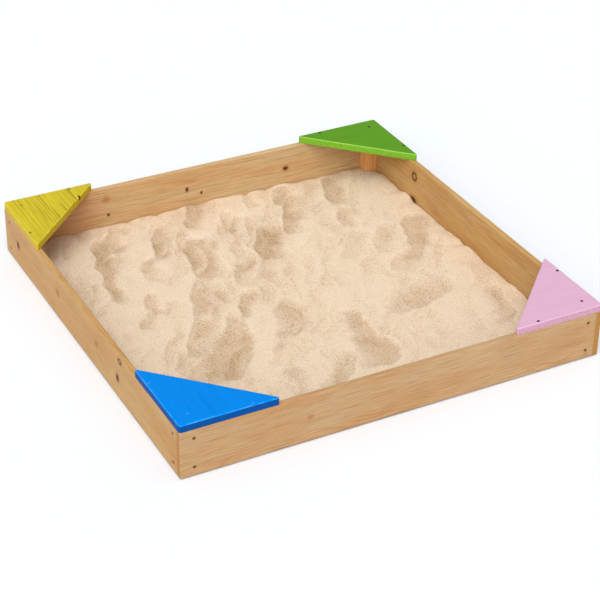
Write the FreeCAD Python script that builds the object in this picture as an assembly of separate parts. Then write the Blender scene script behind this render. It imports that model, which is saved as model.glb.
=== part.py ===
"""Square wooden sandpit: four boards on edge, four corner posts, four painted corner
seats, the screws that hold them, and the sand inside.

Millimetres, +Z up. The origin is the middle of the frame's footprint, on the ground.
The front board lies along -Y and the left board along -X.

Each corner is drawn once, at the front left, and turned by quarter turns about Z to the
other three. A board covers the end of the next board round the frame, so all four boards
are the same length.
"""

import math
import os

import FreeCAD
import Part

# ---------------------------------------------------------------- driving dimensions
FRAME_SIDE = 1080.0          # outside width of the square frame
BOARD_HEIGHT = 120.0
BOARD_THICKNESS = 15.0
BOARD_EDGE_ROUND = 1.5       # planed arris on every long edge

POST_SIDE = 36.0             # square corner post
POST_CHAMFER = 1.5

SEAT_LEG = 236.0             # from the corner to a blunt tip, along the frame
SEAT_THICKNESS = 19.0
SEAT_TIP_WIDTH = 5.0         # flat cut across each tip
SEAT_CORNER_ROUND = 7.0      # upright edge at the frame's corner
SEAT_TIP_ROUND = 2.0         # upright edges at the tips
SEAT_TOP_ROUND = 2.5         # top edge all round
SEAT_BOTTOM_ROUND = 1.0

SCREW_SHANK_RADIUS = 1.8
SCREW_HEAD_RADIUS = 3.6
SCREW_HEAD_HEIGHT = 2.4      # cone under the flat of the head
SCREW_HEAD_RIM = 0.4         # straight rim above the cone
SCREW_POINT_LENGTH = 4.0
SCREW_SUNK = 0.5             # the head's flat below the wood's face
RECESS_LENGTH = 3.8          # cross recess in the head
RECESS_WIDTH = 0.9
RECESS_DEPTH = 1.6
HOLE_CLEARANCE = 0.1         # all round the screw

BOARD_SCREW_LENGTH = 30.0
BOARD_SCREW_HEIGHTS = (22.0, 97.5)
COVERING_END_OFFSET = 34.0   # from the frame's corner, at the end that covers
COVERED_END_OFFSET = 36.0    # from the frame's corner, at the end that is covered

SEAT_SCREW_LENGTH = 40.0
SEAT_POST_SCREW = 35.0       # from both outer faces, into the post
SEAT_TIP_SCREW = 175.0       # along the frame, into the board's edge

SAND_LEVEL = 12.0            # mean height of the sand
SAND_GAP = 0.4               # round the edge of the sand
SAND_LOWEST = 5.0
SAND_GRID = 25               # sample points each way across the surface
# Each gentle wave in the sand: length mm, direction deg, phase deg, height mm.
SAND_WAVES = (
    (410.0, 28.0, 40.0, 1.8),
    (290.0, 117.0, 205.0, 1.6),
    (215.0, 64.0, 310.0, 1.2),
    (180.0, 152.0, 95.0, 0.9),
    (340.0, 81.0, 150.0, 1.2),
)

# ---------------------------------------------------------------- worked out from them
HALF_SIDE = FRAME_SIDE / 2.0
BOARD_LENGTH = FRAME_SIDE - BOARD_THICKNESS
SEAT_TOP = BOARD_HEIGHT + SEAT_THICKNESS
SCREW_HEAD_DEPTH = SCREW_HEAD_RIM + SCREW_HEAD_HEIGHT
UP = FreeCAD.Vector(0, 0, 1)
CENTRE = FreeCAD.Vector(0, 0, 0)
NAMES = ("front_left", "front_right", "back_right", "back_left")
BOARDS = ("front_board", "right_board", "back_board", "left_board")


def vec(x, y, z=0.0):
    """Return a FreeCAD vector."""
    return FreeCAD.Vector(x, y, z)


def quarter_turns(shape, turns):
    """Return a copy of the shape turned by quarter turns about the middle of the frame."""
    copy = shape.copy()
    if turns % 4:
        copy.rotate(CENTRE, UP, 90.0 * (turns % 4))
    return copy


def upright_edges(shape, test):
    """Return the upright edges of a shape whose middle passes the test (x, y)."""
    found = []
    for edge in shape.Edges:
        box = edge.BoundBox
        if box.ZLength > 1.0 and box.XLength < 1e-3 and box.YLength < 1e-3:
            if test(edge.CenterOfMass.x, edge.CenterOfMass.y):
                found.append(edge)
    return found


def edges_at_height(shape, height):
    """Return the edges that lie at one height."""
    return [e for e in shape.Edges
            if abs(e.BoundBox.ZMin - height) < 1e-3 and abs(e.BoundBox.ZMax - height) < 1e-3]


# ---------------------------------------------------------------- screws and their holes
def screw_outline(length, grow):
    """Return the half outline of a countersunk screw, head at the origin, point down.

    grow widens every radius and lengthens the point, for the hole that the screw fits.
    """
    head = SCREW_HEAD_RADIUS + grow
    shank = SCREW_SHANK_RADIUS + grow
    top = SCREW_SUNK + 1.0 if grow else 0.0
    end = -length - 5.0 * grow
    return [
        vec(0, 0, top), vec(head, 0, top), vec(head, 0, -SCREW_HEAD_RIM),
        vec(shank, 0, -SCREW_HEAD_DEPTH), vec(shank, 0, end + SCREW_POINT_LENGTH),
        vec(0.4, 0, end), vec(0, 0, end), vec(0, 0, top),
    ]


def turned(outline):
    """Return the solid made by turning a half outline about Z."""
    return Part.Face(Part.makePolygon(outline)).revolve(CENTRE, UP, 360.0)


def make_screw(length):
    """Return a countersunk screw with a cross recess, head up at the origin."""
    screw = turned(screw_outline(length, 0.0))
    for turn in (0.0, 90.0):
        slot = Part.makeBox(RECESS_LENGTH, RECESS_WIDTH, 2.0 * RECESS_DEPTH,
                            vec(-RECESS_LENGTH / 2.0, -RECESS_WIDTH / 2.0, -RECESS_DEPTH))
        slot.rotate(CENTRE, UP, 45.0 + turn)
        screw = screw.cut(slot)
    return screw


def screw_hole(length):
    """Return the countersunk hole for a screw of this length."""
    return turned(screw_outline(length, HOLE_CLEARANCE))


def facing_back(shape, x, z):
    """Place a screw or hole in the front face, its head sunk, its point along +Y."""
    copy = shape.copy()
    copy.rotate(CENTRE, vec(1, 0, 0), 90.0)
    copy.translate(vec(x, -HALF_SIDE + SCREW_SUNK, z))
    return copy


def facing_down(shape, x, y):
    """Place a screw or hole in a seat's top, its head sunk, its point down."""
    copy = shape.copy()
    copy.translate(vec(x, y, SEAT_TOP - SCREW_SUNK))
    return copy


def front_board_row(shape):
    """Return four copies of a screw or hole, placed in the front board."""
    places = (-HALF_SIDE + COVERING_END_OFFSET, HALF_SIDE - COVERED_END_OFFSET)
    return [facing_back(shape, x, z) for x in places for z in BOARD_SCREW_HEIGHTS]


def corner_seat_row(shape):
    """Return three copies of a screw or hole, placed in the front left seat."""
    edge = BOARD_THICKNESS / 2.0
    places = ((SEAT_POST_SCREW, SEAT_POST_SCREW), (SEAT_TIP_SCREW, edge), (edge, SEAT_TIP_SCREW))
    return [facing_down(shape, x - HALF_SIDE, y - HALF_SIDE) for x, y in places]


def all_round(shapes):
    """Return the shapes and their copies turned to the other three sides."""
    return [quarter_turns(shape, turns) for turns in range(4) for shape in shapes]


def drill(shape, holes):
    """Cut from the shape every hole that reaches it."""
    near = [hole for hole in holes if shape.BoundBox.intersect(hole.BoundBox)]
    return shape.cut(near) if near else shape


# ---------------------------------------------------------------- wooden pieces
def make_front_board(holes):
    """Return the front board: it covers the left board's end and meets the right board."""
    board = Part.makeBox(BOARD_LENGTH, BOARD_THICKNESS, BOARD_HEIGHT,
                         vec(-HALF_SIDE, -HALF_SIDE, 0.0))
    board = board.makeFillet(BOARD_EDGE_ROUND, board.Edges)
    return drill(board, holes)


def make_post(holes):
    """Return the front left corner post, inside both boards and level with their tops."""
    low = -HALF_SIDE + BOARD_THICKNESS
    post = Part.makeBox(POST_SIDE, POST_SIDE, BOARD_HEIGHT, vec(low, low, 0.0))
    post = post.makeChamfer(POST_CHAMFER, upright_edges(post, lambda x, y: True))
    return drill(post, holes)


def make_seat(holes):
    """Return the front left seat: a triangle with blunt tips and a rounded corner."""
    low = -HALF_SIDE
    outline = [
        vec(low, low, BOARD_HEIGHT),
        vec(low + SEAT_LEG, low, BOARD_HEIGHT),
        vec(low + SEAT_LEG, low + SEAT_TIP_WIDTH, BOARD_HEIGHT),
        vec(low + SEAT_TIP_WIDTH, low + SEAT_LEG, BOARD_HEIGHT),
        vec(low, low + SEAT_LEG, BOARD_HEIGHT),
    ]
    seat = Part.Face(Part.makePolygon(outline + outline[:1])).extrude(vec(0, 0, SEAT_THICKNESS))
    corner = upright_edges(seat, lambda x, y: x < low + 1.0 and y < low + 1.0)
    seat = seat.makeFillet(SEAT_CORNER_ROUND, corner)
    tips = upright_edges(seat, lambda x, y: math.hypot(x - low, y - low) > SEAT_LEG / 2.0)
    seat = seat.makeFillet(SEAT_TIP_ROUND, tips)
    seat = seat.makeFillet(SEAT_TOP_ROUND, edges_at_height(seat, SEAT_TOP))
    seat = seat.makeFillet(SEAT_BOTTOM_ROUND, edges_at_height(seat, BOARD_HEIGHT))
    return drill(seat, holes)


# ---------------------------------------------------------------- sand
def sand_height(x, y):
    """Return the height of the sand: a mean level and a few long gentle waves."""
    height = SAND_LEVEL
    for length, direction, phase, amplitude in SAND_WAVES:
        angle = math.radians(direction)
        along = x * math.cos(angle) + y * math.sin(angle)
        height += amplitude * math.sin(2.0 * math.pi * along / length + math.radians(phase))
    return max(height, SAND_LOWEST)


def make_sand():
    """Return the sand: a waved sheet over the ground, inside the boards and posts."""
    reach = HALF_SIDE - BOARD_THICKNESS - SAND_GAP
    tray = Part.makeBox(2 * reach, 2 * reach, BOARD_HEIGHT, vec(-reach, -reach, 0.0))
    post_room = Part.makeBox(POST_SIDE + SAND_GAP, POST_SIDE + SAND_GAP, BOARD_HEIGHT,
                             vec(-reach, -reach, 0.0))
    tray = tray.cut(all_round([post_room]))
    steps = [-HALF_SIDE + FRAME_SIDE * i / (SAND_GRID - 1) for i in range(SAND_GRID)]
    surface = Part.BSplineSurface()
    surface.interpolate([[vec(x, y, sand_height(x, y)) for y in steps] for x in steps])
    above = surface.toShape().extrude(vec(0, 0, 2.0 * BOARD_HEIGHT))
    return tray.cut(above)


# ---------------------------------------------------------------- assembly
def build():
    """Return every node of the sandpit by name."""
    board_screws = all_round(front_board_row(make_screw(BOARD_SCREW_LENGTH)))
    seat_screws = all_round(corner_seat_row(make_screw(SEAT_SCREW_LENGTH)))
    holes = (all_round(front_board_row(screw_hole(BOARD_SCREW_LENGTH)))
             + all_round(corner_seat_row(screw_hole(SEAT_SCREW_LENGTH))))
    board, post, seat = make_front_board(holes), make_post(holes), make_seat(holes)
    nodes = {}
    for turns in range(4):
        nodes[BOARDS[turns]] = quarter_turns(board, turns)
        nodes["post_" + NAMES[turns]] = quarter_turns(post, turns)
        nodes["seat_" + NAMES[turns]] = quarter_turns(seat, turns)
    nodes["board_screws"] = Part.makeCompound(board_screws)
    nodes["seat_screws"] = Part.makeCompound(seat_screws)
    nodes["sand_fill"] = make_sand()
    return nodes


def main():
    """Write one STEP file for each node."""
    os.makedirs("parts", exist_ok=True)
    for name, shape in build().items():
        solids = shape.Solids
        box = shape.BoundBox
        print("%-18s %2d solid(s)  valid %s  volume %.0f  z %.1f..%.1f" % (
            name, len(solids), shape.isValid(), sum(s.Volume for s in solids),
            box.ZMin, box.ZMax))
        shape = solids[0] if len(solids) == 1 else shape
        shape.exportStep("parts/%s.step" % name)


main()
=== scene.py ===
"""Looks of a square wooden sandbox: pine boards and posts, four painted corner seats,
zinc plated screws and a layer of dry sand, in a plain pale studio.

Shapes are worked out in millimetres and put into meshes in metres. Each board and seat is
drawn once for the front or the front left corner, and turned by quarter turns about Z to
its own place, as the real frame is made.
"""

import logging
import math
from collections.abc import Mapping, Sequence
from dataclasses import dataclass, field
from enum import Enum
from itertools import product

import bmesh
import bpy
import numpy as np
from mathutils import Matrix, Vector


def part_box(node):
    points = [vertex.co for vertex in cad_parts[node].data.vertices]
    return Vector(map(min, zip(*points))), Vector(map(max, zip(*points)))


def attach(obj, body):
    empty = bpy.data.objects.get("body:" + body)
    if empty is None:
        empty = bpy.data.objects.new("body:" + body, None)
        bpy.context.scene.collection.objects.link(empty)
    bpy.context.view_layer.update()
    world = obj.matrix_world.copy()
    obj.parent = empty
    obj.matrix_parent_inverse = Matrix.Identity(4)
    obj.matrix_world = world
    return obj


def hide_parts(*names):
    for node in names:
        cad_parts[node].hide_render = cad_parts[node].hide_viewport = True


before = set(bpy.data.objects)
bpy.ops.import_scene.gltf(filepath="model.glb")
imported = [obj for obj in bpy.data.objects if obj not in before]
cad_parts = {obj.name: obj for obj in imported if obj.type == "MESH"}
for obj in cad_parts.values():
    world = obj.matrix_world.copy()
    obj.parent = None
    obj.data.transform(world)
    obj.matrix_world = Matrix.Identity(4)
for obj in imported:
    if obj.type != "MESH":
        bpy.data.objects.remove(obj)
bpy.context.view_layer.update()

LOG = logging.getLogger("sandbox")
MM = 0.001
QUARTER = math.pi / 2.0
BODY = "root"
TO_MM = (1000.0, 1000.0, 1000.0)
Tree, Socket = bpy.types.NodeTree, bpy.types.NodeSocket
# A colour mix: its factor and colours are inputs 0, 6 and 7, and its result is output 2.
MIXED = {"data_type": "RGBA", "out": 2}
SMOOTH = {"interpolation_type": "SMOOTHSTEP"}


class Side(Enum):
    """A side of the frame, as quarter turns from the front."""

    FRONT = 0
    RIGHT = 1
    BACK = 2
    LEFT = 3


class Corner(Enum):
    """A corner of the frame, as quarter turns from the front left."""

    FRONT_LEFT = 0
    FRONT_RIGHT = 1
    BACK_RIGHT = 2
    BACK_LEFT = 3


class KnotKind(Enum):
    """How a knot looks: a dead dark one, a live one with a dark ring, or a faint one."""

    DARK = "dark"
    RING = "ring"
    FAINT = "faint"


# ------------------------------------------------------------------ numbers and shapes
def smooth_noise(x: np.ndarray, y: np.ndarray, seed: int) -> np.ndarray:
    """Smooth noise from -1 to 1: a random value at each whole-number point of the plane,
    blended between the four points around by the fade 6t^5 - 15t^4 + 10t^3.

    Args:
        x: first coordinate, in cells.
        y: second coordinate, in cells.
        seed: picks the set of random values.

    Returns:
        The noise, shaped like x and y.
    """
    x, y = np.broadcast_arrays(x, y)
    column, row = np.floor(x).astype(np.int64), np.floor(y).astype(np.int64)
    fx, fy = x - column, y - row
    fade = [t * t * t * (t * (6.0 * t - 15.0) + 10.0) for t in (fx, fy)]
    total = np.zeros(x.shape)
    for a, b in product((0, 1), repeat=2):
        # Large odd factors and shifts scatter the bits of neighbouring points.
        mixed = (column + a) * 374761393 + (row + b) * 668265263 + seed * 974634777
        mixed = (mixed ^ (mixed >> 13)) * 1274126177
        mixed = (mixed ^ (mixed >> 16)) & 0xFFFF
        share = (fade[0] if a else 1.0 - fade[0]) * (fade[1] if b else 1.0 - fade[1])
        total += share * (mixed / 32767.5 - 1.0)
    return total


def layered_noise(x: np.ndarray, y: np.ndarray, seed: int, layers: int = 3) -> np.ndarray:
    """Adds layers of smooth noise, each twice as fine and half as high as the last.

    Args:
        x: first coordinate, in cells of the coarsest layer.
        y: second coordinate.
        seed: picks the random values.
        layers: how many layers.

    Returns:
        The summed noise, within about -1 to 1.
    """
    total = sum(0.5 ** k * smooth_noise(x * 2.0 ** k, y * 2.0 ** k, seed + 17 * k)
                for k in range(layers))
    return total / (2.0 - 0.5 ** (layers - 1))


def eased(t: np.ndarray) -> np.ndarray:
    """The smooth step 3t^2 - 2t^3, held at 0 before 0 and at 1 after 1."""
    t = np.clip(t, 0.0, 1.0)
    return t * t * (3.0 - 2.0 * t)


def refined(low: float, high: float, marks: Sequence[float], step: float = 5.0,
            fine: float = 0.75, reach: float = 5.25) -> np.ndarray:
    """Places from low to high, a step apart, and finer around each mark.

    Args:
        low: first place, mm.
        high: last place.
        marks: places to crowd around.
        step: spacing away from the marks.
        fine: spacing near a mark.
        reach: how far the fine spacing goes each side of a mark.

    Returns:
        The places in rising order.
    """
    coarse = np.linspace(low, high, max(2, round((high - low) / step) + 1))
    near = [mark + np.arange(-reach, reach + fine / 2.0, fine) for mark in marks]
    for band in near:
        coarse = coarse[(coarse < band[0] - fine) | (coarse > band[-1] + fine)]
    return np.sort(np.concatenate([coarse, *near])) if near else coarse


def quarter_turned(points: np.ndarray, turns: int) -> np.ndarray:
    """Turns points about Z by quarter turns.

    Args:
        points: x, y and z in the last axis.
        turns: quarter turns, anticlockwise from above.

    Returns:
        The turned points.
    """
    for _ in range(turns % 4):
        points = np.stack([-points[..., 1], points[..., 0], points[..., 2]], axis=-1)
    return points


def node_box(node: str) -> tuple[np.ndarray, np.ndarray]:
    """A CAD node's lowest and highest corners, in mm."""
    low, high = (np.array(corner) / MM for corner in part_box(node))
    return low, high


def grid_quads(rows: int, columns: int, wrap: bool = True) -> np.ndarray:
    """Faces of a grid of points that is numbered row by row.

    Args:
        rows: number of rows.
        columns: number of points in a row.
        wrap: whether the last point of a row joins its first.

    Returns:
        One row of four point numbers per face.
    """
    first = np.arange(columns if wrap else columns - 1)
    after = (first + 1) % columns
    base = np.arange(rows - 1)[:, None] * columns
    return np.stack([base + first, base + after, base + columns + after,
                     base + columns + first], axis=-1).reshape(-1, 4)


def rounded_loop(low: np.ndarray, high: np.ndarray, radius: float,
                 marks: Sequence[float]) -> np.ndarray:
    """A rectangle with rounded corners as a closed loop of points, the same on its two
    long sides, so that an end can close flat.

    Args:
        low: lowest corner, as two numbers, mm.
        high: highest corner.
        radius: corner radius.
        marks: heights to crowd points around.

    Returns:
        The points, two numbers each.
    """
    rise = refined(low[1] + radius, high[1] - radius, marks)
    run = np.linspace(low[0] + radius, high[0] - radius, 6)
    arc = np.linspace(0.0, QUARTER, 5)[1:-1]
    parts = [np.stack([np.full_like(rise, high[0]), rise], axis=-1)]
    for quarter, (centre_y, centre_z, line) in enumerate((
            (high[0] - radius, high[1] - radius, (run[::-1], np.full_like(run, high[1]))),
            (low[0] + radius, high[1] - radius, (np.full_like(rise, low[0]), rise[::-1])),
            (low[0] + radius, low[1] + radius, (run, np.full_like(run, low[1]))),
            (high[0] - radius, low[1] + radius, ([], [])))):
        angle = quarter * QUARTER + arc
        parts.append(np.stack([centre_y + radius * np.cos(angle),
                               centre_z + radius * np.sin(angle)], axis=-1))
        parts.append(np.stack(line, axis=-1))
    return np.concatenate(parts)


def capped_sweep(profile: np.ndarray, stations: np.ndarray, low: float, high: float,
                 round_by: float, half_thickness: float) -> tuple[np.ndarray, np.ndarray]:
    """Carries a closed profile along x, and closes both ends: the profile shrinks round a
    small arc at each end, and then flat onto its own middle line.

    Args:
        profile: the y, z points of the loop.
        stations: places along x between the rounded ends.
        low: where the first end is.
        high: where the last end is.
        round_by: radius of the ends' rounding.
        half_thickness: half the profile's smaller side.

    Returns:
        Points as rows along x, and how far each point belongs to an end.
    """
    middle = (profile.max(axis=0) + profile.min(axis=0)) / 2.0
    half = (profile.max(axis=0) - profile.min(axis=0)) / 2.0
    flat = np.linspace(half_thickness, round_by, 5)
    arc = np.linspace(QUARTER, 0.0, 4)[1:-1]
    inset = np.concatenate([flat, round_by * (1.0 - np.cos(arc))])
    moved = np.concatenate([np.zeros(len(flat)), round_by * (1.0 - np.sin(arc))])
    x = np.concatenate([low + moved, stations, (high - moved)[::-1]])
    shrink = np.concatenate([inset, np.zeros(len(stations)), inset[::-1]])
    scale = 1.0 - shrink[:, None] / half[None, :]
    section = middle + (profile - middle)[None] * scale[:, None, :]
    points = np.concatenate([np.broadcast_to(x[:, None, None], section.shape[:2] + (1,)),
                             section], axis=-1)
    end = np.zeros(points.shape[:2])
    end[:len(flat)] = 1.0
    end[-len(flat):] = 1.0
    return points, end


def make_piece(name: str, points: np.ndarray, faces: Sequence[np.ndarray],
               material: bpy.types.Material, node: str,
               facts: Mapping[str, np.ndarray]) -> None:
    """Makes a closed mesh object in place, with its material, and ties it to the frame.

    Args:
        name: the object's name.
        points: every point, in mm.
        faces: arrays of the point numbers of each face.
        material: its finish.
        node: the CAD node that it stands for.
        facts: named numbers per point that its material reads.
    """
    mesh = bpy.data.meshes.new(name)
    mesh.from_pydata((points.reshape(-1, 3) * MM).tolist(), [],
                     [face for part in faces for face in part.tolist()])
    for key, values in facts.items():
        layer = mesh.attributes.new(key, "FLOAT", "POINT")
        layer.data.foreach_set("value", values.reshape(-1).astype(np.float32))
    close_seams(mesh)
    mesh.polygons.foreach_set("use_smooth", np.ones(len(mesh.polygons), bool))
    mesh.materials.append(material)
    mesh.validate()
    mesh.update()
    piece = bpy.data.objects.new(name, mesh)
    bpy.context.scene.collection.objects.link(piece)
    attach(piece, BODY)
    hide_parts(node)
    LOG.info("%s: %d faces", name, len(mesh.polygons))


def close_seams(mesh: bpy.types.Mesh) -> None:
    """Merges points that share a place, and turns every face outwards.

    Args:
        mesh: the mesh to mend.
    """
    work = bmesh.new()
    work.from_mesh(mesh)
    bmesh.ops.remove_doubles(work, verts=work.verts, dist=0.00001)
    bmesh.ops.dissolve_degenerate(work, edges=work.edges, dist=0.000001)
    bmesh.ops.recalc_face_normals(work, faces=work.faces)
    work.to_mesh(mesh)
    work.free()


# ------------------------------------------------------------------ nodes
def linear(code: str) -> tuple[float, float, float, float]:
    """Turns an sRGB hex colour into linear light.

    Args:
        code: six hex digits with a leading #.

    Returns:
        Red, green, blue and full alpha.
    """
    parts = (int(code[i:i + 2], 16) / 255.0 for i in (1, 3, 5))
    values = [c / 12.92 if c <= 0.04045 else ((c + 0.055) / 1.055) ** 2.4 for c in parts]
    return values[0], values[1], values[2], 1.0


def add_node(tree: Tree, kind: str, inputs: Mapping[str | int, object] | None = None,
             stops: Sequence[tuple[float, str]] = (), out: int | str = 0,
             **settings: object) -> Socket | None:
    """Adds one shader node with its settings, its ramp and its links.

    Args:
        tree: the node tree.
        kind: the node's type name, less the ShaderNode that all begin with.
        inputs: input sockets by name or index, each a value or a socket to link from.
        stops: a colour ramp's stops, as places and hex colours.
        out: the output that is wanted.
        settings: attributes of the node.

    Returns:
        The output socket, or nothing for a node that has none.
    """
    node = tree.nodes.new("ShaderNode" + kind)
    for key, value in settings.items():
        setattr(node, key, value)
    for key, value in (inputs or {}).items():
        if isinstance(value, Socket):
            tree.links.new(value, node.inputs[key])
        else:
            node.inputs[key].default_value = value
    for number, (place, code) in enumerate(stops):
        ramp = node.color_ramp.elements
        stop = ramp[number] if number < 2 else ramp.new(place)
        stop.position = place
        stop.color = linear(code)
    return node.outputs[out] if len(node.outputs) else None


def start_material(name: str) -> tuple[bpy.types.Material, Tree]:
    """Makes a material with an empty node tree.

    Args:
        name: the material's name.

    Returns:
        The material and its tree.
    """
    material = bpy.data.materials.new(name)
    material.use_nodes = True
    material.node_tree.nodes.clear()
    return material, material.node_tree


# ------------------------------------------------------------------ finishes
@dataclass(frozen=True)
class Knot:
    """A branch stub that goes straight through a board's thickness, in mm."""

    along: float
    height: float
    width: float
    tall: float
    kind: KnotKind = KnotKind.DARK


@dataclass(frozen=True)
class KnotLook:
    """A kind of knot: which of the board's two knot colours it has, how strongly its resin
    stains the wood around, and its strength from the middle at 0 to the rim at 0.67."""

    colour: int
    stain: float
    stops: tuple[tuple[float, str], ...]


KNOT_LOOKS = {
    KnotKind.DARK: KnotLook(0, 0.75, (
        (0.0, "#FFFFFF"), (0.50, "#F0F0F0"), (0.68, "#808080"), (0.90, "#000000"))),
    KnotKind.RING: KnotLook(0, 0.35, (
        (0.0, "#181818"), (0.30, "#202020"), (0.42, "#F0F0F0"), (0.62, "#E8E8E8"),
        (0.84, "#000000"))),
    KnotKind.FAINT: KnotLook(1, 0.45, (
        (0.0, "#C8C8C8"), (0.45, "#909090"), (0.75, "#303030"), (1.0, "#000000"))),
}


@dataclass(frozen=True)
class PlanedPine:
    """Pine, planed and wiped with a thin clear glaze: honey coloured, with fine long
    low-contrast grain, darker ends, a few knots, and a satin sheen.

    The pattern is a log in three dimensions, so faces, edges and ends agree: growth rings
    about a pith line, which wander along the board and swing round each knot.
    """

    name: str
    early: str                      # pale spring wood
    late: str                       # darker summer wood
    warm: str                       # broad warmer patches
    knots: tuple[Knot, ...] = ()
    turns: int = 0                  # quarter turns of the piece about Z
    upright: bool = False           # grain along Z
    shift: float = 0.0              # mm along the log, so that boards differ
    pith: tuple[float, float] = (-430.0, -35.0)   # mm, across and up from the board's axes
    heart: tuple[float, float] = (0.0, 0.0)   # middle and half length of redder heartwood
    knot_colours: tuple[str, str] = ("#4A240C", "#A0662E")
    ends: str = "#A27031"           # sawn ends, which drink more glaze
    end_share: float = 0.85
    ducts: str = "#8A5A30"          # resin ducts
    seat_ring_shade_colour: str = "#4A2C12"        # painted shade round a screw's head, for the shadow of its seat
    seat_ring_shade_share: float = 0.45
    heartwood: str = "#D39A74"
    ring_gap: float = 3.4           # mm between growth rings
    contrast: float = 0.60          # share of the summer wood's colour that shows
    wander: float = 46.0            # mm that the pith line may stray, from side to side
    ragged: float = 1.2             # mm that a knot's rim strays each way

    def build(self) -> bpy.types.Material:
        """Builds the node material.

        Returns:
            The material.
        """
        material, tree = start_material(self.name)
        # Own axes: x along the grain, y across the thickness, z up the board, in mm.
        place = add_node(tree, "TexCoord", out="Object")
        angles = (0.0, QUARTER, 0.0) if self.upright else (0.0, 0.0, -QUARTER * self.turns)
        own = add_node(tree, "Mapping", {"Vector": place, "Rotation": angles, "Scale": TO_MM})
        shifted = add_node(tree, "VectorMath", {0: own, 1: (self.shift, 0.0, 0.0)},
                           operation="ADD")
        near = self.knot_distances(tree, own)
        rings, fibres, patches, ducts = self.grain(tree, shifted, self.bend(tree, near))

        colour = add_node(tree, "Mix", {0: patches, 6: linear(self.early),
                                        7: linear(self.warm)}, **MIXED)
        if self.heart[1] > 0.0:
            colour = self.heart_colour(tree, colour, own, patches)
        ring_share = add_node(tree, "Math", {0: rings, 1: self.contrast}, operation="MULTIPLY")
        colour = add_node(tree, "Mix", {0: ring_share, 6: colour, 7: linear(self.late)}, **MIXED)
        colour = add_node(tree, "Mix", {0: 1.0, 6: colour, 7: fibres}, blend_type="MULTIPLY",
                          **MIXED)
        colour = add_node(tree, "Mix", {0: ducts, 6: colour, 7: linear(self.ducts)}, **MIXED)
        colour = self.knot_colour(tree, colour, near)
        # Sawn ends are darker, and a ring of painted shade lies round each screw seat.
        for fact, most, shade in (("end_grain", self.end_share, self.ends),
                                  ("seat_ring_shade", self.seat_ring_shade_share, self.seat_ring_shade_colour)):
            share = add_node(tree, "Attribute", out="Fac", attribute_name=fact)
            share = add_node(tree, "Math", {0: share, 1: most}, operation="MULTIPLY")
            colour = add_node(tree, "Mix", {0: share, 6: colour, 7: linear(shade)}, **MIXED)

        # Summer wood is a little glossier. Its lines and the ducts lie a little sunken.
        gloss = add_node(tree, "MapRange", {"Value": rings, "To Min": 0.50, "To Max": 0.42})
        height = add_node(tree, "Math", {0: rings, 1: ducts}, operation="ADD")
        bump = add_node(tree, "Bump", {"Strength": 0.25, "Distance": 0.0003, "Height": height},
                        invert=True)
        shader = add_node(tree, "BsdfPrincipled", {
            "Base Color": colour, "Roughness": gloss, "Normal": bump, "IOR": 1.45,
            "Specular IOR Level": 0.22})
        add_node(tree, "OutputMaterial", {"Surface": shader})
        return material

    def heart_colour(self, tree: Tree, colour: Socket, own: Socket, patches: Socket) -> Socket:
        """Reddens a stretch of the board, with a ragged border, where heartwood shows.

        Args:
            tree: the node tree.
            colour: the wood's colour.
            own: place on the board, in mm.
            patches: the broad patches, 0 to 1.

        Returns:
            The colour with heartwood.
        """
        middle, half = self.heart
        along = add_node(tree, "SeparateXYZ", {"Vector": own}, out="X")
        away = add_node(tree, "Math", {0: along, 1: middle}, operation="SUBTRACT")
        away = add_node(tree, "Math", {0: away}, operation="ABSOLUTE")
        away = add_node(tree, "Math", {0: patches, 1: 70.0, 2: away}, operation="MULTIPLY_ADD")
        share = add_node(tree, "MapRange", {
            "Value": away, "From Min": half + 50.0, "From Max": half, "To Min": 0.0,
            "To Max": 0.6}, **SMOOTH)
        return add_node(tree, "Mix", {0: share, 6: colour, 7: linear(self.heartwood)}, **MIXED)

    def knot_distances(self, tree: Tree, own: Socket) -> dict[KnotKind, Socket]:
        """Distance to the nearest knot of each kind, where 1 is the knot's ragged rim.

        Args:
            tree: the node tree.
            own: place on the board, in mm.

        Returns:
            A socket for each kind of knot the board has.
        """
        # The noise runs from 0 to 1, in cells of some 6 mm.
        ragged = add_node(tree, "TexNoise", {"Vector": own, "Scale": 0.16, "Detail": 2.0},
                          out="Color")
        ragged = add_node(tree, "VectorMath", {
            0: ragged, 1: (2.0 * self.ragged, 0.0, 2.0 * self.ragged),
            2: (-self.ragged, 0.0, -self.ragged)}, operation="MULTIPLY_ADD")
        rough = add_node(tree, "VectorMath", {0: own, 1: ragged}, operation="ADD")
        nearest: dict[KnotKind, Socket] = {}
        for knot in self.knots:
            offset = add_node(tree, "VectorMath", {
                0: rough, 1: (knot.along, 0.0, knot.height)}, operation="SUBTRACT")
            scaled = add_node(tree, "VectorMath", {
                0: offset, 1: (2.0 / knot.width, 0.0, 2.0 / knot.tall)}, operation="MULTIPLY")
            distance = add_node(tree, "VectorMath", {0: scaled}, out="Value",
                                operation="LENGTH")
            if knot.kind in nearest:
                distance = add_node(tree, "Math", {0: nearest[knot.kind], 1: distance},
                                    operation="MINIMUM")
            nearest[knot.kind] = distance
        return nearest

    def bend(self, tree: Tree, near: Mapping[KnotKind, Socket]) -> Socket | float:
        """How far knots push the growth rings aside: 8 mm close to a knot's middle, fading
        to nothing at 3.4 times the distance of its rim.

        Args:
            tree: the node tree.
            near: distance to the nearest knot of each kind.

        Returns:
            The push in mm, which is 0 on a board with no knots.
        """
        push: Socket | float = 0.0
        for distance in near.values():
            part = add_node(tree, "MapRange", {
                "Value": distance, "From Min": 3.4, "From Max": 0.6, "To Min": 0.0,
                "To Max": 8.0}, interpolation_type="SMOOTHERSTEP")
            push = add_node(tree, "Math", {0: push, 1: part}, operation="ADD")
        return push

    def grain(self, tree: Tree, own: Socket, bend: Socket | float) -> tuple[Socket, ...]:
        """Growth rings, fibres, broad patches and resin ducts.

        Args:
            tree: the node tree.
            own: place on the log, in mm.
            bend: push from the knots, in mm.

        Returns:
            The rings (1 at summer wood), the fibres' shade, the patches and the ducts.
        """
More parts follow.
